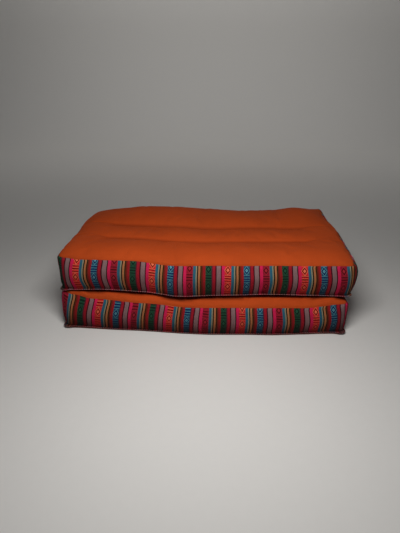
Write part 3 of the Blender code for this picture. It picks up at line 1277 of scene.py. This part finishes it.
@dataclass
class CushionPad:
    """One pad: its filled orange form, its striped gusset, and the stitches in both."""

    name: str
    shape: PadShape
    grain: tuple[GrainKnot, ...]
    motif_at: float
    stretch: float
    # Painted shade up the gusset by share of its height, and on its welt.
    painted_shading: tuple[Range, ...]
    welt_shade: float
    seed: int
    weave: StripedWeave = field(default_factory=StripedWeave)
    filling: Filling = field(default_factory=Filling)
    upper_draw: float = 0.0022
    lower_draw: float = 0.0006
    skin_gap: float = 0.0004
    gusset_cloth: float = 0.0010
    welt_roll: tuple[Range, ...] = ((0.80, -0.30), (1.02, -0.42), (1.0, -0.66), (0.62, -0.48))
    welt_reach: float = 0.0038
    welt_ear: float = 0.0060
    ear_width: float = 0.0120
    welt_wave: float = 0.0002
    seam_crease: float = 0.9
    # Width of the dust and painted shade at each channel.
    dust_and_shade_groove: float = 0.0035
    even_from: float = 0.38
    even_over: float = 0.22
    # Openings of the crevice under the pad above, from full painted shade to none.
    crevice: Range = (1.8, 3.6)
    # Painted shade along the seams, and dust and painted shade in the channels.
    seam_shade: float = 0.10
    seam_shade_reach: float = 0.004
    channel_dust_and_shade: float = 0.65
    sewn_from: float = 0.5
    contact: float = 1e-4
    stitch_lift: float = 0.0001
    waves: int = 5
    wave_lengths: Range = (0.03, 0.11)
    above: "CushionPad | None" = None

    def build(self, finishes: Finishes) -> list[bpy.types.Object]:
        """Make and dress every piece of the pad.

        Args:
            finishes: The materials.

        Returns:
            The pieces.
        """
        self.grid = SewnGrid(self.shape)
        self._place_as_solid()
        pad = self._filled_form(finishes.orange)
        gusset = self._gusset(finishes.striped)
        pieces = [pad, gusset, self._channel_stitches(pad, finishes), self._welt_stitches(gusset, finishes)]
        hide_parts(self.name + "_pad")
        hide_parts(self.name + "_gusset")
        for piece, cloth in zip(pieces, (Cloth.ORANGE, Cloth.STRIPED, Cloth.ORANGE, Cloth.STRIPED)):
            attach(piece, "root")
            log.info("%s: %d points", piece.name, len(piece.data.vertices))
        return pieces

    def _place_as_solid(self) -> None:
        """Move the grid in plan so that its middle is where the solid's is."""
        low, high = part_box(self.name + "_pad")
        points = self.grid.points
        for axis in (0, 1):
            middle = (points[:, axis].min() + points[:, axis].max()) / 2
            points[:, axis] += (low[axis] + high[axis]) / 2 - middle
        for row, draw in ((0, self.lower_draw), (-1, self.upper_draw)):
            drawn = self.grid.outward(row) * -draw
            drawn[:, 2] = -draw if row else draw / 2
            points[self.grid.wall[row]] += drawn

    def _dust_and_shade(self) -> Array:
        """Lay dust and painted shade on the top panel: painted shade along the seams, dust and painted shade
        in the channels, and the most painted shade in the crevice between the pads.

        Returns:
            A value from 0 to 1 for each point of the pad.
        """
        grid, shape = self.grid, self.shape
        dust_and_shade = np.zeros(len(grid.points))
        u, v = np.meshgrid(grid.u, grid.v)
        # Painted shade along the seams, dust and painted shade in the channels, and painted shade in the
        # crevice under the pad above.
        seams = self.seam_shade * np.exp(-np.minimum(*shape.edge_distance(u, v)) / self.seam_shade_reach)
        channels = self.channel_dust_and_shade * shape.grooves(v, self.dust_and_shade_groove) * shape.channel_run(u)
        crevice_shade = self._crevice_shade(grid.points[grid.top]) if self.above else 0.0
        dust_and_shade[grid.top] = np.clip(seams + channels + crevice_shade, 0.0, 1.0)
        return dust_and_shade

    def _crevice_shade(self, points: Array) -> Array:
        """Find how deep points lie in the crevice under the pad above, where shade is painted.

        Args:
            points: Places on this pad's top panel, in metres.

        Returns:
            Painted shade: 0 in the open, rising to 1 where little is seen of the space past the welt above.
        """
        welt, out = self.above.welt, self.above.grid.outward(0)
        apart = points[..., None, :2] - welt[:, :2]
        nearest = (apart ** 2).sum(axis=-1).argmin(axis=-1)
        offset = points - welt[nearest]
        inside = -(offset * out[nearest]).sum(axis=-1)
        opening = -offset[..., 2] / np.maximum(inside, TINY)
        closed, wide = self.crevice
        return smooth((wide - opening) / (wide - closed))

    def _pad_cloth(self, faces: Array) -> Array:
        """Lay the pad's faces out flat: its panels in plan, and its hidden sides along the upper seam.

        Args:
            faces: Four point numbers for each face of the pad.

        Returns:
            Place on the flat cloth of each corner of each face, in metres.
        """
        grid = self.grid
        panels = 2 * (len(grid.u) - 1) * (len(grid.v) - 1)
        uvs = grid.points[faces][:, :, :2].copy()
        ring = along(np.vstack([grid.points[grid.wall[-1]], grid.points[grid.wall[-1][:1]]]))
        row, column = np.divmod(np.arange(len(faces) - panels), len(grid.ring))
        left, right = ring[column], ring[column + 1]
        heights = grid.w * (self.shape.upper_seam - self.shape.lower_seam)
        low, high = heights[row], heights[row + 1]
        uvs[panels:] = np.stack([left, low, right, low, right, high, left, high], -1).reshape(-1, 4, 2)
        return uvs

    def _filled_form(self, material: bpy.types.Material) -> bpy.types.Object:
        """Make the filled pad: both orange panels and the cloth behind the gusset, as one closed form.

        Args:
            material: The orange cotton.

        Returns:
            The piece.
        """
        grid = self.grid
        faces = grid.quads()
        pad = mesh_piece(self.name + "_filled_pad", grid.points, faces, self._pad_cloth(faces), "cloth")
        self._pucker(pad)
        # Dust and painted shade, which the orange cotton is darkened by.
        dust_and_shade = pad.data.attributes.new("dust_and_shade", "FLOAT", "POINT")
        dust_and_shade.data.foreach_set("value", self._dust_and_shade().astype(np.float32))
        pad.data.materials.append(material)
        rims = [np.append(grid.wall[row], grid.wall[row][0]) for row in (0, -1)]
        channels = [grid.top[row, 1:-1] for row in grid.channel_rows]
        set_crease(pad, rims + channels, self.seam_crease)
        subdivide(pad)
        return pad

    def _pucker(self, pad: bpy.types.Object) -> None:
        """Add the creases that filling leaves in the cloth, clear of what the pad touches.

        Args:
            pad: The closed pad, whose points move.
        """
        grid, shape = self.grid, self.shape
        top = grid.points[grid.top]
        run = shape.channel_run(grid.u) > self.sewn_from
        sewn = [grid.top[row][run] for row in grid.channel_rows]
        resting = grid.bottom[grid.points[grid.bottom][:, :, 2] < shape.base + self.contact]
        held = [grid.wall[0], grid.wall[-1], *sewn, resting]
        if shape.flat_top is not None:
            held.append(grid.top[top[:, :, 2] > shape.flat_top - self.contact])
        moved = self.filling.creases(pad, np.unique(np.concatenate(held)))
        out = self._wall_normals()
        moved[grid.wall] = (moved[grid.wall] * out).sum(axis=2, keepdims=True) * out
        grid.points += moved
        grid.points[:, 2] = np.maximum(grid.points[:, 2], shape.base)
        if shape.flat_top is not None:
            grid.points[:, 2] = np.minimum(grid.points[:, 2], shape.flat_top)
        pad.data.vertices.foreach_set("co", grid.points.astype(np.float32).ravel())
        pad.data.update()

    def _gusset_rows(self) -> tuple[Array, Array]:
        """Place the gusset's cloth row by row, welt first.

        Returns:
            The points of each row, and how high each row is on the flat cloth, in metres.
        """
        grid = self.grid
        seam = grid.points[grid.wall[0]]
        out, wave = grid.outward(0), self._welt_wave(along(seam))
        ends = [(x, y) for x in (-1, 1) for y in (-1, 1)]
        corners = seam[[int(np.argmax(x * seam[:, 0] + y * seam[:, 1])) for x, y in ends]]
        apart = np.linalg.norm(seam[:, None, :2] - corners[None, :, :2], axis=2).min(axis=1)
        reach = self.welt_reach + self.welt_ear * np.exp(-((apart / self.ear_width) ** 2)) + wave
        rows = []
        for share, rise in self.welt_roll:
            row = seam + out * (reach * share)[:, None]
            row[:, 2] += rise * self.welt_reach + wave * share
            rows.append(row)
        inner = np.array(rows + [seam])
        middle = (grid.front_columns.start + grid.front_columns.stop) // 2
        below = -along(inner[::-1][:, middle])[::-1][:-1]
        gusset = grid.points[grid.wall] + self._wall_normals() * self.skin_gap
        return np.array([*rows, *gusset]), np.array([*below, *along(gusset[:, middle])])

    def _welt_wave(self, place: Array) -> Array:
        """Make the welt slightly uneven.

        Args:
            place: Places round the pad, in metres.

        Returns:
            How far the welt stands out more at each place, in metres.
        """
        rng = np.random.default_rng(self.seed)
        turn = 2.0 * math.pi
        waves = [(rng.uniform(*self.wave_lengths), rng.uniform(0.0, turn)) for _ in range(self.waves)]
        total = sum(np.sin(turn * place / length + start) for length, start in waves)
        return total * self.welt_wave

    def _wall_normals(self) -> Array:
        """Find the directions square to the gusset, pointing out.

        Returns:
            One direction for each of its points, ring by ring.
        """
        wall = self.grid.points[self.grid.wall]
        run = np.roll(wall, -1, axis=1) - np.roll(wall, 1, axis=1)
        rise = np.gradient(wall, axis=0)
        out = np.cross(run, rise)
        return out / np.linalg.norm(out, axis=2, keepdims=True)

    def _front_arc(self, row: Array) -> Array:
        """Measure round the pad along a closed row of points.

        Args:
            row: The points.

        Returns:
            Distance from the middle of the front, in metres, with the first point again at the end.
        """
        ring = along(np.vstack([row, row[:1]]))
        front = self.grid.front_columns
        return ring - np.interp(0.0, row[front, 0], ring[front])

    def _gusset_cloth(self, rows: Array, heights: Array) -> Array:
        """Lay the gusset out on the striped cloth, as its stripes are sewn in.

        Args:
            rows: Its points, row by row, welt first.
            heights: How high each row is on the flat cloth, in metres.

        Returns:
            Place along the cloth and across it, in metres, row by row, with the first point again at the end.
        """
        welt = len(self.welt_roll)
        rings = np.array([self._front_arc(rows[max(row, welt)]) for row in range(len(rows))])
        even = smooth((np.abs(rings[-1]) - self.even_from) / self.even_over)
        shift, lean, bulge, drop = eased(self.grain, rings[-1])
        tall = heights[-1]
        share = np.clip(heights / tall, 0.0, 1.0)[:, None]
        moved = shift + lean * (1.0 - share) + bulge * np.sin(math.pi * share) - (rings - rings[-1])
        u = (rings[-1] - self.motif_at - moved * (1.0 - even)) / self.stretch + self.weave.warm_centre
        v = (heights - tall)[:, None] + drop
        return np.stack([u, v], -1)

    def _gusset(self, material: bpy.types.Material) -> bpy.types.Object:
        """Make the striped band round the pad, its lower seam allowance standing out as a welt.

        Args:
            material: The striped weave.

        Returns:
            The piece.
        """
        rows, heights = self._gusset_rows()
        count, columns = rows.shape[:2]
        welt = len(self.welt_roll)
        self.welt = rows[1]
        number = np.arange(count * columns).reshape(count, columns)
        following = np.roll(number, -1, axis=1)
        faces = np.stack([number[:-1], following[:-1], following[1:], number[1:]], -1).reshape(-1, 4)
        flat = self._gusset_cloth(rows, heights)
        left, right = flat[:, :-1], flat[:, 1:]
        uvs = np.stack([left[:-1], right[:-1], right[1:], left[1:]], 2).reshape(-1, 4, 2)
        band = mesh_piece(self.name + "_striped_gusset", rows.reshape(-1, 3), faces, uvs, "cloth")
        turned, shaded = np.zeros((count, columns)), np.zeros((count, columns))
        turned[:welt] = 1.0
        # Painted shade: darker towards the lower seam, and on the welt.
        shaded += np.interp(np.clip(heights / heights[-1], 0.0, 1.0), *np.array(self.painted_shading).T)[:, None]
        shaded[:welt] = self.welt_shade
        for name, values in (("turned_edge", turned), ("painted_shade", shaded)):
            layer = band.data.attributes.new(name, "FLOAT", "POINT")
            layer.data.foreach_set("value", values.astype(np.float32).ravel())
        band.data.materials.append(material)
        set_crease(band, [np.append(number[welt], number[welt][0])], self.seam_crease)
        subdivide(band)
        thicken(band, self.gusset_cloth)
        return band

    def _seated(self, surface: bpy.types.Object, line: Array) -> Array:
        """Move a line onto the nearest place on a piece, and lift it off a little.

        Args:
            surface: The piece.
            line: Points along the line, in metres.

        Returns:
            The moved points.
        """
        mesh = evaluated_copy(surface)
        mesh.calc_loop_triangles()
        corners = [tuple(triangle.vertices) for triangle in mesh.loop_triangles]
        tree = BVHTree.FromPolygons([point.co for point in mesh.vertices], corners)
        bpy.data.meshes.remove(mesh)
        seated = []
        for point in line:
            place, normal, _, _ = tree.find_nearest(Vector(point))
            seated.append(place + normal * self.stitch_lift)
        return np.array(seated)

    def _channel_stitches(self, pad: bpy.types.Object, finishes: Finishes) -> bpy.types.Object:
        """Sew the stitches of the two channels.

        Args:
            pad: The filled pad.
            finishes: The materials.

        Returns:
            The piece.
        """
        grid = self.grid
        run = self.shape.channel_run(grid.u) > self.sewn_from
        stitches = StitchRun(
            name=self.name + "_channel_stitches",
            pitch=0.0042,
            length=0.0034,
            thick=0.0008,
            wander=0.05,
            seed=self.seed,
            thread=finishes.orange_thread,
        )
        return stitches.sew([self._seated(pad, grid.points[grid.top[row][run]]) for row in grid.channel_rows])

    def _welt_stitches(self, gusset: bpy.types.Object, finishes: Finishes) -> bpy.types.Object:
        """Sew the pale stitches that close the welt all round.

        Args:
            gusset: The striped band.
            finishes: The materials.

        Returns:
            The piece.
        """
        line = np.vstack([self.welt, self.welt[:1]])
        line[:, 2] += self.gusset_cloth
        stitches = StitchRun(
            name=self.name + "_welt_stitches",
            pitch=0.0060,
            length=0.0040,
            thick=0.0006,
            wander=0.08,
            seed=self.seed,
            thread=finishes.pale_thread,
        )
        return stitches.sew([self._seated(gusset, line)])


@dataclass
class FoldHinge:
    """The strip of orange cloth that joins the pads along the back."""

    lower: CushionPad
    upper: CushionPad
    gap: float = 0.0015
    half: float = 0.325
    bow: float = 0.003
    cloth: float = 0.0016
    pull: float = 0.25
    pulls: tuple[tuple[float, float, float], ...] = ((1.0, 0.083, 0.0), (0.6, 0.047, 1.0))
    proud: float = 0.0008
    across: int = 110
    rows: int = 8

    def build(self, finishes: Finishes) -> bpy.types.Object:
        """Make and dress the hinge.

        Args:
            finishes: The materials.

        Returns:
            The piece.
        """
        low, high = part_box("fold_hinge")
        t = np.linspace(0.0, 1.0, self.rows + 1)
        x = np.linspace(high.x, low.x, self.across + 1)
        edges = [self._seam_line(pad, row, x) for pad, row in ((self.lower, -1), (self.upper, 0))]
        edges[0][:, 2] += self.gap
        edges[1][:, 2] -= self.gap
        rows = edges[0] + (edges[1] - edges[0]) * t[:, None, None]
        pull = sum(size * np.sin(2.0 * math.pi * x / length + start) for size, length, start in self.pulls)
        rows[:, :, 1] += (self.bow * np.sin(math.pi * t))[:, None] * (1.0 + self.pull * pull[None, :])
        number = np.arange(rows.shape[0] * rows.shape[1]).reshape(rows.shape[:2])
        under, over = number[:-1], number[1:]
        faces = np.stack([under[:, :-1], under[:, 1:], over[:, 1:], over[:, :-1]], -1).reshape(-1, 4)
        tall = along(rows[:, self.across // 2])
        flat = np.stack(np.meshgrid(high.x - x, tall), -1)
        uvs = np.stack([flat[:-1, :-1], flat[:-1, 1:], flat[1:, 1:], flat[1:, :-1]], 2).reshape(-1, 4, 2)
        strip = mesh_piece("orange_fold_hinge", rows.reshape(-1, 3), faces, uvs, "cloth")
        strip.data.materials.append(finishes.orange)
        subdivide(strip)
        thicken(strip, self.cloth)
        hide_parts("fold_hinge")
        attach(strip, "root")
        log.info("%s: %d points", strip.name, len(strip.data.vertices))
        return strip

    def _seam_line(self, pad: CushionPad, row: int, x: Array) -> Array:
        """Find points on a back seam of a pad, a little proud of it.

        Args:
            pad: The pad.
            row: Ring of its gusset that the seam is on.
            x: Places along the seam, in metres.

        Returns:
            The points.
        """
        seam = pad.grid.points[pad.grid.wall[row]]
        back = seam[seam[:, 1] > seam[:, 1].max() - pad.shape.make.depth / 4]
        back = back[np.argsort(back[:, 0])]
        y, z = (np.interp(x, back[:, 0], back[:, axis]) for axis in (1, 2))
        return np.stack([x, y + self.proud, z], -1)


class Lamp(NamedTuple):
    """A soft lamp: where it hangs, what it faces, the size of its face in metres and its power in watts."""

    name: str
    place: tuple[float, float, float]
    aim: tuple[float, float, float]
    size: Range
    power: float


@dataclass(frozen=True)
class Sweep:
    """The paper under and behind the cushion, in metres: flat, then bent up."""

    near: float = -4.0
    far: float = 2.2
    bend: float = 0.9
    high: float = 3.2
    half: float = 5.0
    steps: int = 13

    def build(self) -> None:
        """Lay the paper."""
        turns = np.linspace(0.0, math.pi / 2, self.steps)
        curve = [(self.far + self.bend * math.sin(a), self.bend * (1.0 - math.cos(a))) for a in turns]
        profile = [(self.near, 0.0), *curve, (self.far + self.bend, self.high)]
        points = np.array([(side * self.half, y, z) for y, z in profile for side in (-1, 1)])
        number = np.arange(len(points)).reshape(-1, 2)
        faces = np.stack([number[:-1, 0], number[:-1, 1], number[1:, 1], number[1:, 0]], -1)
        paper = mesh_piece("studio_floor", points, faces, points[faces][:, :, :2], "paper")
        paper.data.materials.append(PaleFloor().build())


@dataclass(frozen=True)
class Studio:
    """The camera at the photo's angle, soft lights and a pale sweep of paper."""

    eye: tuple[float, float, float] = (0.020, -1.077, 0.633)
    yaw: float = -0.039
    pitch: float = 0.4674
    roll: float = 0.0048
    focal_pixels: float = 410.8
    frame_pixels: tuple[int, int] = (400, 533)
    sensor: float = 36.0
    sky_dye: Colour = linear(240, 243, 248)
    sky_strength: float = 0.06
    lamps: tuple[Lamp, ...] = (
        Lamp("key", (0.01, -0.62, 0.78), (0.0, -0.05, 0.10), (0.40, 0.20), 5.5),
        Lamp("backdrop", (0.0, 1.6, 2.4), (0.0, 3.3, 1.4), (3.0, 1.5), 20.0),
    )

    def camera(self) -> None:
        """Place the camera."""
        cy, sy = math.cos(self.yaw), math.sin(self.yaw)
        cp, sp = math.cos(self.pitch), math.sin(self.pitch)
        ahead = Vector((sy * cp, cy * cp, -sp))
        level = Vector((cy, -sy, 0.0))
        above = level.cross(ahead)
        right = math.cos(self.roll) * level + math.sin(self.roll) * above
        up = math.cos(self.roll) * above - math.sin(self.roll) * level
        data = bpy.data.cameras.new("camera")
        data.sensor_width = self.sensor
        data.lens = self.focal_pixels / max(self.frame_pixels) * self.sensor
        camera = bpy.data.objects.new("camera", data)
        turn = Matrix((right, up, -ahead)).transposed().to_4x4()
        camera.matrix_world = Matrix.Translation(self.eye) @ turn
        bpy.context.scene.collection.objects.link(camera)
        bpy.context.scene.camera = camera

    def hang(self, lamp: Lamp) -> None:
        """Hang a lamp that lights the scene but stays out of the picture.

        Args:
            lamp: The lamp.
        """
        data = bpy.data.lights.new(lamp.name, "AREA")
        data.shape = "RECTANGLE"
        data.size, data.size_y = lamp.size
        data.energy = lamp.power
        thing = bpy.data.objects.new(lamp.name, data)
        thing.visible_camera = False
        thing.location = lamp.place
        thing.rotation_mode = "QUATERNION"
        thing.rotation_quaternion = (Vector(lamp.aim) - Vector(lamp.place)).to_track_quat("-Z", "Y")
        bpy.context.scene.collection.objects.link(thing)

    def sky(self) -> None:
        """Fill the shadows with even, pale light."""
        world = bpy.data.worlds.new("studio")
        world.use_nodes = True
        backdrop = world.node_tree.nodes["Background"]
        backdrop.inputs["Color"].default_value = self.sky_dye
        backdrop.inputs["Strength"].default_value = self.sky_strength
        bpy.context.scene.world = world

    def build(self) -> None:
        """Set up the whole studio."""
        self.camera()
        Sweep().build()
        self.sky()
        for lamp in self.lamps:
            self.hang(lamp)
        view = bpy.context.scene.view_settings
        view.view_transform = "Standard"
        view.look = "None"


UPPER_PAD = PadShape(
    base=0.1040,
    lower_seam=0.1100,
    upper_seam=0.1920,
    flat_top=None,
    front_step=0.000,
    phase=0.000,
    left=End(bow=0.006, swell=0.007, back_ear=-0.012),
    right=End(bow=0.014, swell=0.015, back_ear=0.015),
    upper_knots=(
        SeamKnot(-0.36, 0.000, 0.007),
        SeamKnot(-0.30, 0.006, 0.004),
        SeamKnot(-0.18, 0.008, 0.004),
        SeamKnot(-0.07, 0.014, -0.004),
        SeamKnot(0.05, 0.012, -0.002),
        SeamKnot(0.20, 0.009, 0.000),
        SeamKnot(0.36, 0.008, 0.003),
    ),
    lower_knots=(
        SeamKnot(-0.36, 0.000, 0.000),
        SeamKnot(-0.24, 0.003, 0.005),
        SeamKnot(-0.15, 0.007, 0.003),
        SeamKnot(-0.06, 0.019, -0.001),
        SeamKnot(0.05, 0.011, 0.001),
        SeamKnot(0.17, 0.006, 0.004),
        SeamKnot(0.36, 0.001, 0.001),
    ),
    back_roll=(
        RollKnot(-0.36, -0.006, 0.000),
        RollKnot(-0.26, 0.000, 0.006),
        RollKnot(-0.20, 0.0055, 0.0085),
        RollKnot(-0.10, 0.0085, 0.0085),
        RollKnot(0.00, -0.004, 0.010),
        RollKnot(0.10, -0.0075, 0.0105),
        RollKnot(0.20, -0.0055, 0.0085),
        RollKnot(0.27, 0.015, 0.0015),
        RollKnot(0.36, 0.001, 0.000),
    ),
    channel_knots=(
        ChannelKnot(-0.36, 0.000, 0.000),
        ChannelKnot(-0.26, 0.0065, 0.0105),
        ChannelKnot(-0.20, 0.0085, 0.012),
        ChannelKnot(-0.10, 0.012, 0.0205),
        ChannelKnot(0.00, 0.021, 0.0265),
        ChannelKnot(0.10, 0.0105, 0.021),
        ChannelKnot(0.20, 0.0105, 0.014),
        ChannelKnot(0.27, 0.0075, 0.0105),
        ChannelKnot(0.36, 0.000, 0.000),
    ),
)
LOWER_PAD = PadShape(
    base=0.000,
    lower_seam=0.006,
    upper_seam=0.083,
    flat_top=0.1037,
    front_step=0.010,
    phase=0.070,
    left=End(bow=0.006, swell=0.012, back_ear=0.000),
    right=End(bow=0.003, swell=0.009, back_ear=0.000),
    upper_knots=(
        SeamKnot(-0.36, -0.007, 0.021),
        SeamKnot(-0.335, -0.005, 0.014),
        SeamKnot(-0.28, 0.002, 0.006),
        SeamKnot(-0.15, 0.011, 0.002),
        SeamKnot(-0.03, 0.017, -0.004),
        SeamKnot(0.11, 0.015, -0.002),
        SeamKnot(0.24, 0.011, -0.001),
        SeamKnot(0.36, 0.000, 0.008),
    ),
    lower_knots=(
        SeamKnot(-0.36, 0.005, 0.004),
        SeamKnot(-0.20, 0.009, 0.000),
        SeamKnot(0.00, 0.018, -0.001),
        SeamKnot(0.14, 0.014, 0.000),
        SeamKnot(0.36, 0.000, 0.003),
    ),
    back_roll=(RollKnot(-0.36, 0.000, 0.000), RollKnot(0.36, 0.000, 0.000)),
)

UPPER_GRAIN = (
    GrainKnot(-0.36, -0.0035, -0.005, -0.006, 0.0015),
    GrainKnot(-0.28, -0.003, -0.003, -0.0055, 0.0015),
    GrainKnot(-0.20, -0.001, -0.0025, -0.003, 0.0015),
    GrainKnot(-0.12, 0.0005, -0.004, -0.0005, 0.002),
    GrainKnot(-0.04, -0.0005, -0.0005, -0.0005, 0.0065),
    GrainKnot(0.04, 0.000, 0.0005, 0.0005, 0.011),
    GrainKnot(0.12, -0.0005, 0.002, 0.0015, 0.012),
    GrainKnot(0.20, -0.0005, 0.003, 0.003, 0.013),
    GrainKnot(0.28, 0.0005, 0.007, 0.003, 0.0135),
    GrainKnot(0.36, 0.000, 0.0085, 0.005, 0.0135),
)
LOWER_GRAIN = (
    GrainKnot(-0.36, 0.001, -0.015, -0.0005, 0.030),
    GrainKnot(-0.28, 0.004, -0.0135, -0.003, 0.030),
    GrainKnot(-0.20, 0.005, -0.0115, -0.0015, 0.0305),
    GrainKnot(-0.12, 0.005, -0.0095, -0.0015, 0.031),
    GrainKnot(-0.04, 0.003, -0.0055, -0.002, 0.034),
    GrainKnot(0.04, 0.001, -0.0005, 0.001, 0.041),
    GrainKnot(0.12, 0.001, 0.002, 0.0015, 0.0455),
    GrainKnot(0.20, 0.002, 0.005, 0.002, 0.051),
    GrainKnot(0.28, 0.003, 0.0075, 0.002, 0.0555),
    GrainKnot(0.36, 0.003, 0.009, 0.003, 0.0555),
)

# Painted shade up each gusset, from its lower seam at 0 to its upper one at 1.
UPPER_GUSSET_SHADE = (
    (0.0, 0.88),
    (0.1, 0.75),
    (0.2, 0.58),
    (0.3, 0.48),
    (0.4, 0.40),
    (0.5, 0.24),
    (0.6, 0.05),
    (0.7, 0.0),
)
LOWER_GUSSET_SHADE = (
    (0.0, 1.0),
    (0.1, 0.95),
    (0.2, 0.81),
    (0.3, 0.66),
    (0.4, 0.49),
    (0.5, 0.32),
    (0.7, 0.15),
    (1.0, 0.08),
)


def main() -> None:
    """Build the studio, both pads and the hinge, and report each piece."""
    logging.basicConfig(level=logging.INFO, format="%(name)s: %(message)s")
    log.info("dressing %s", ", ".join(sorted(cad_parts)))
    Studio().build()
    finishes = Finishes(
        orange=OrangeCotton().build(),
        striped=StripedWeave().build(),
        orange_thread=SewingThread("orange_thread", linear(190, 74, 26)).build(),
        pale_thread=SewingThread("pale_thread", linear(180, 130, 132)).build(),
    )
    upper = CushionPad(
        name="upper",
        shape=UPPER_PAD,
        grain=UPPER_GRAIN,
        motif_at=0.0530,
        stretch=1.0,
        painted_shading=UPPER_GUSSET_SHADE,
        welt_shade=0.60,
        seed=11,
    )
    lower = CushionPad(
        name="lower",
        shape=LOWER_PAD,
        grain=LOWER_GRAIN,
        motif_at=0.0905,
        stretch=0.988,
        painted_shading=LOWER_GUSSET_SHADE,
        welt_shade=0.90,
        seed=23,
        above=upper,
    )
    for pad in (upper, lower):
        pad.build(finishes)
    FoldHinge(lower, upper).build(finishes)


if __name__ == "__main__":
    main()
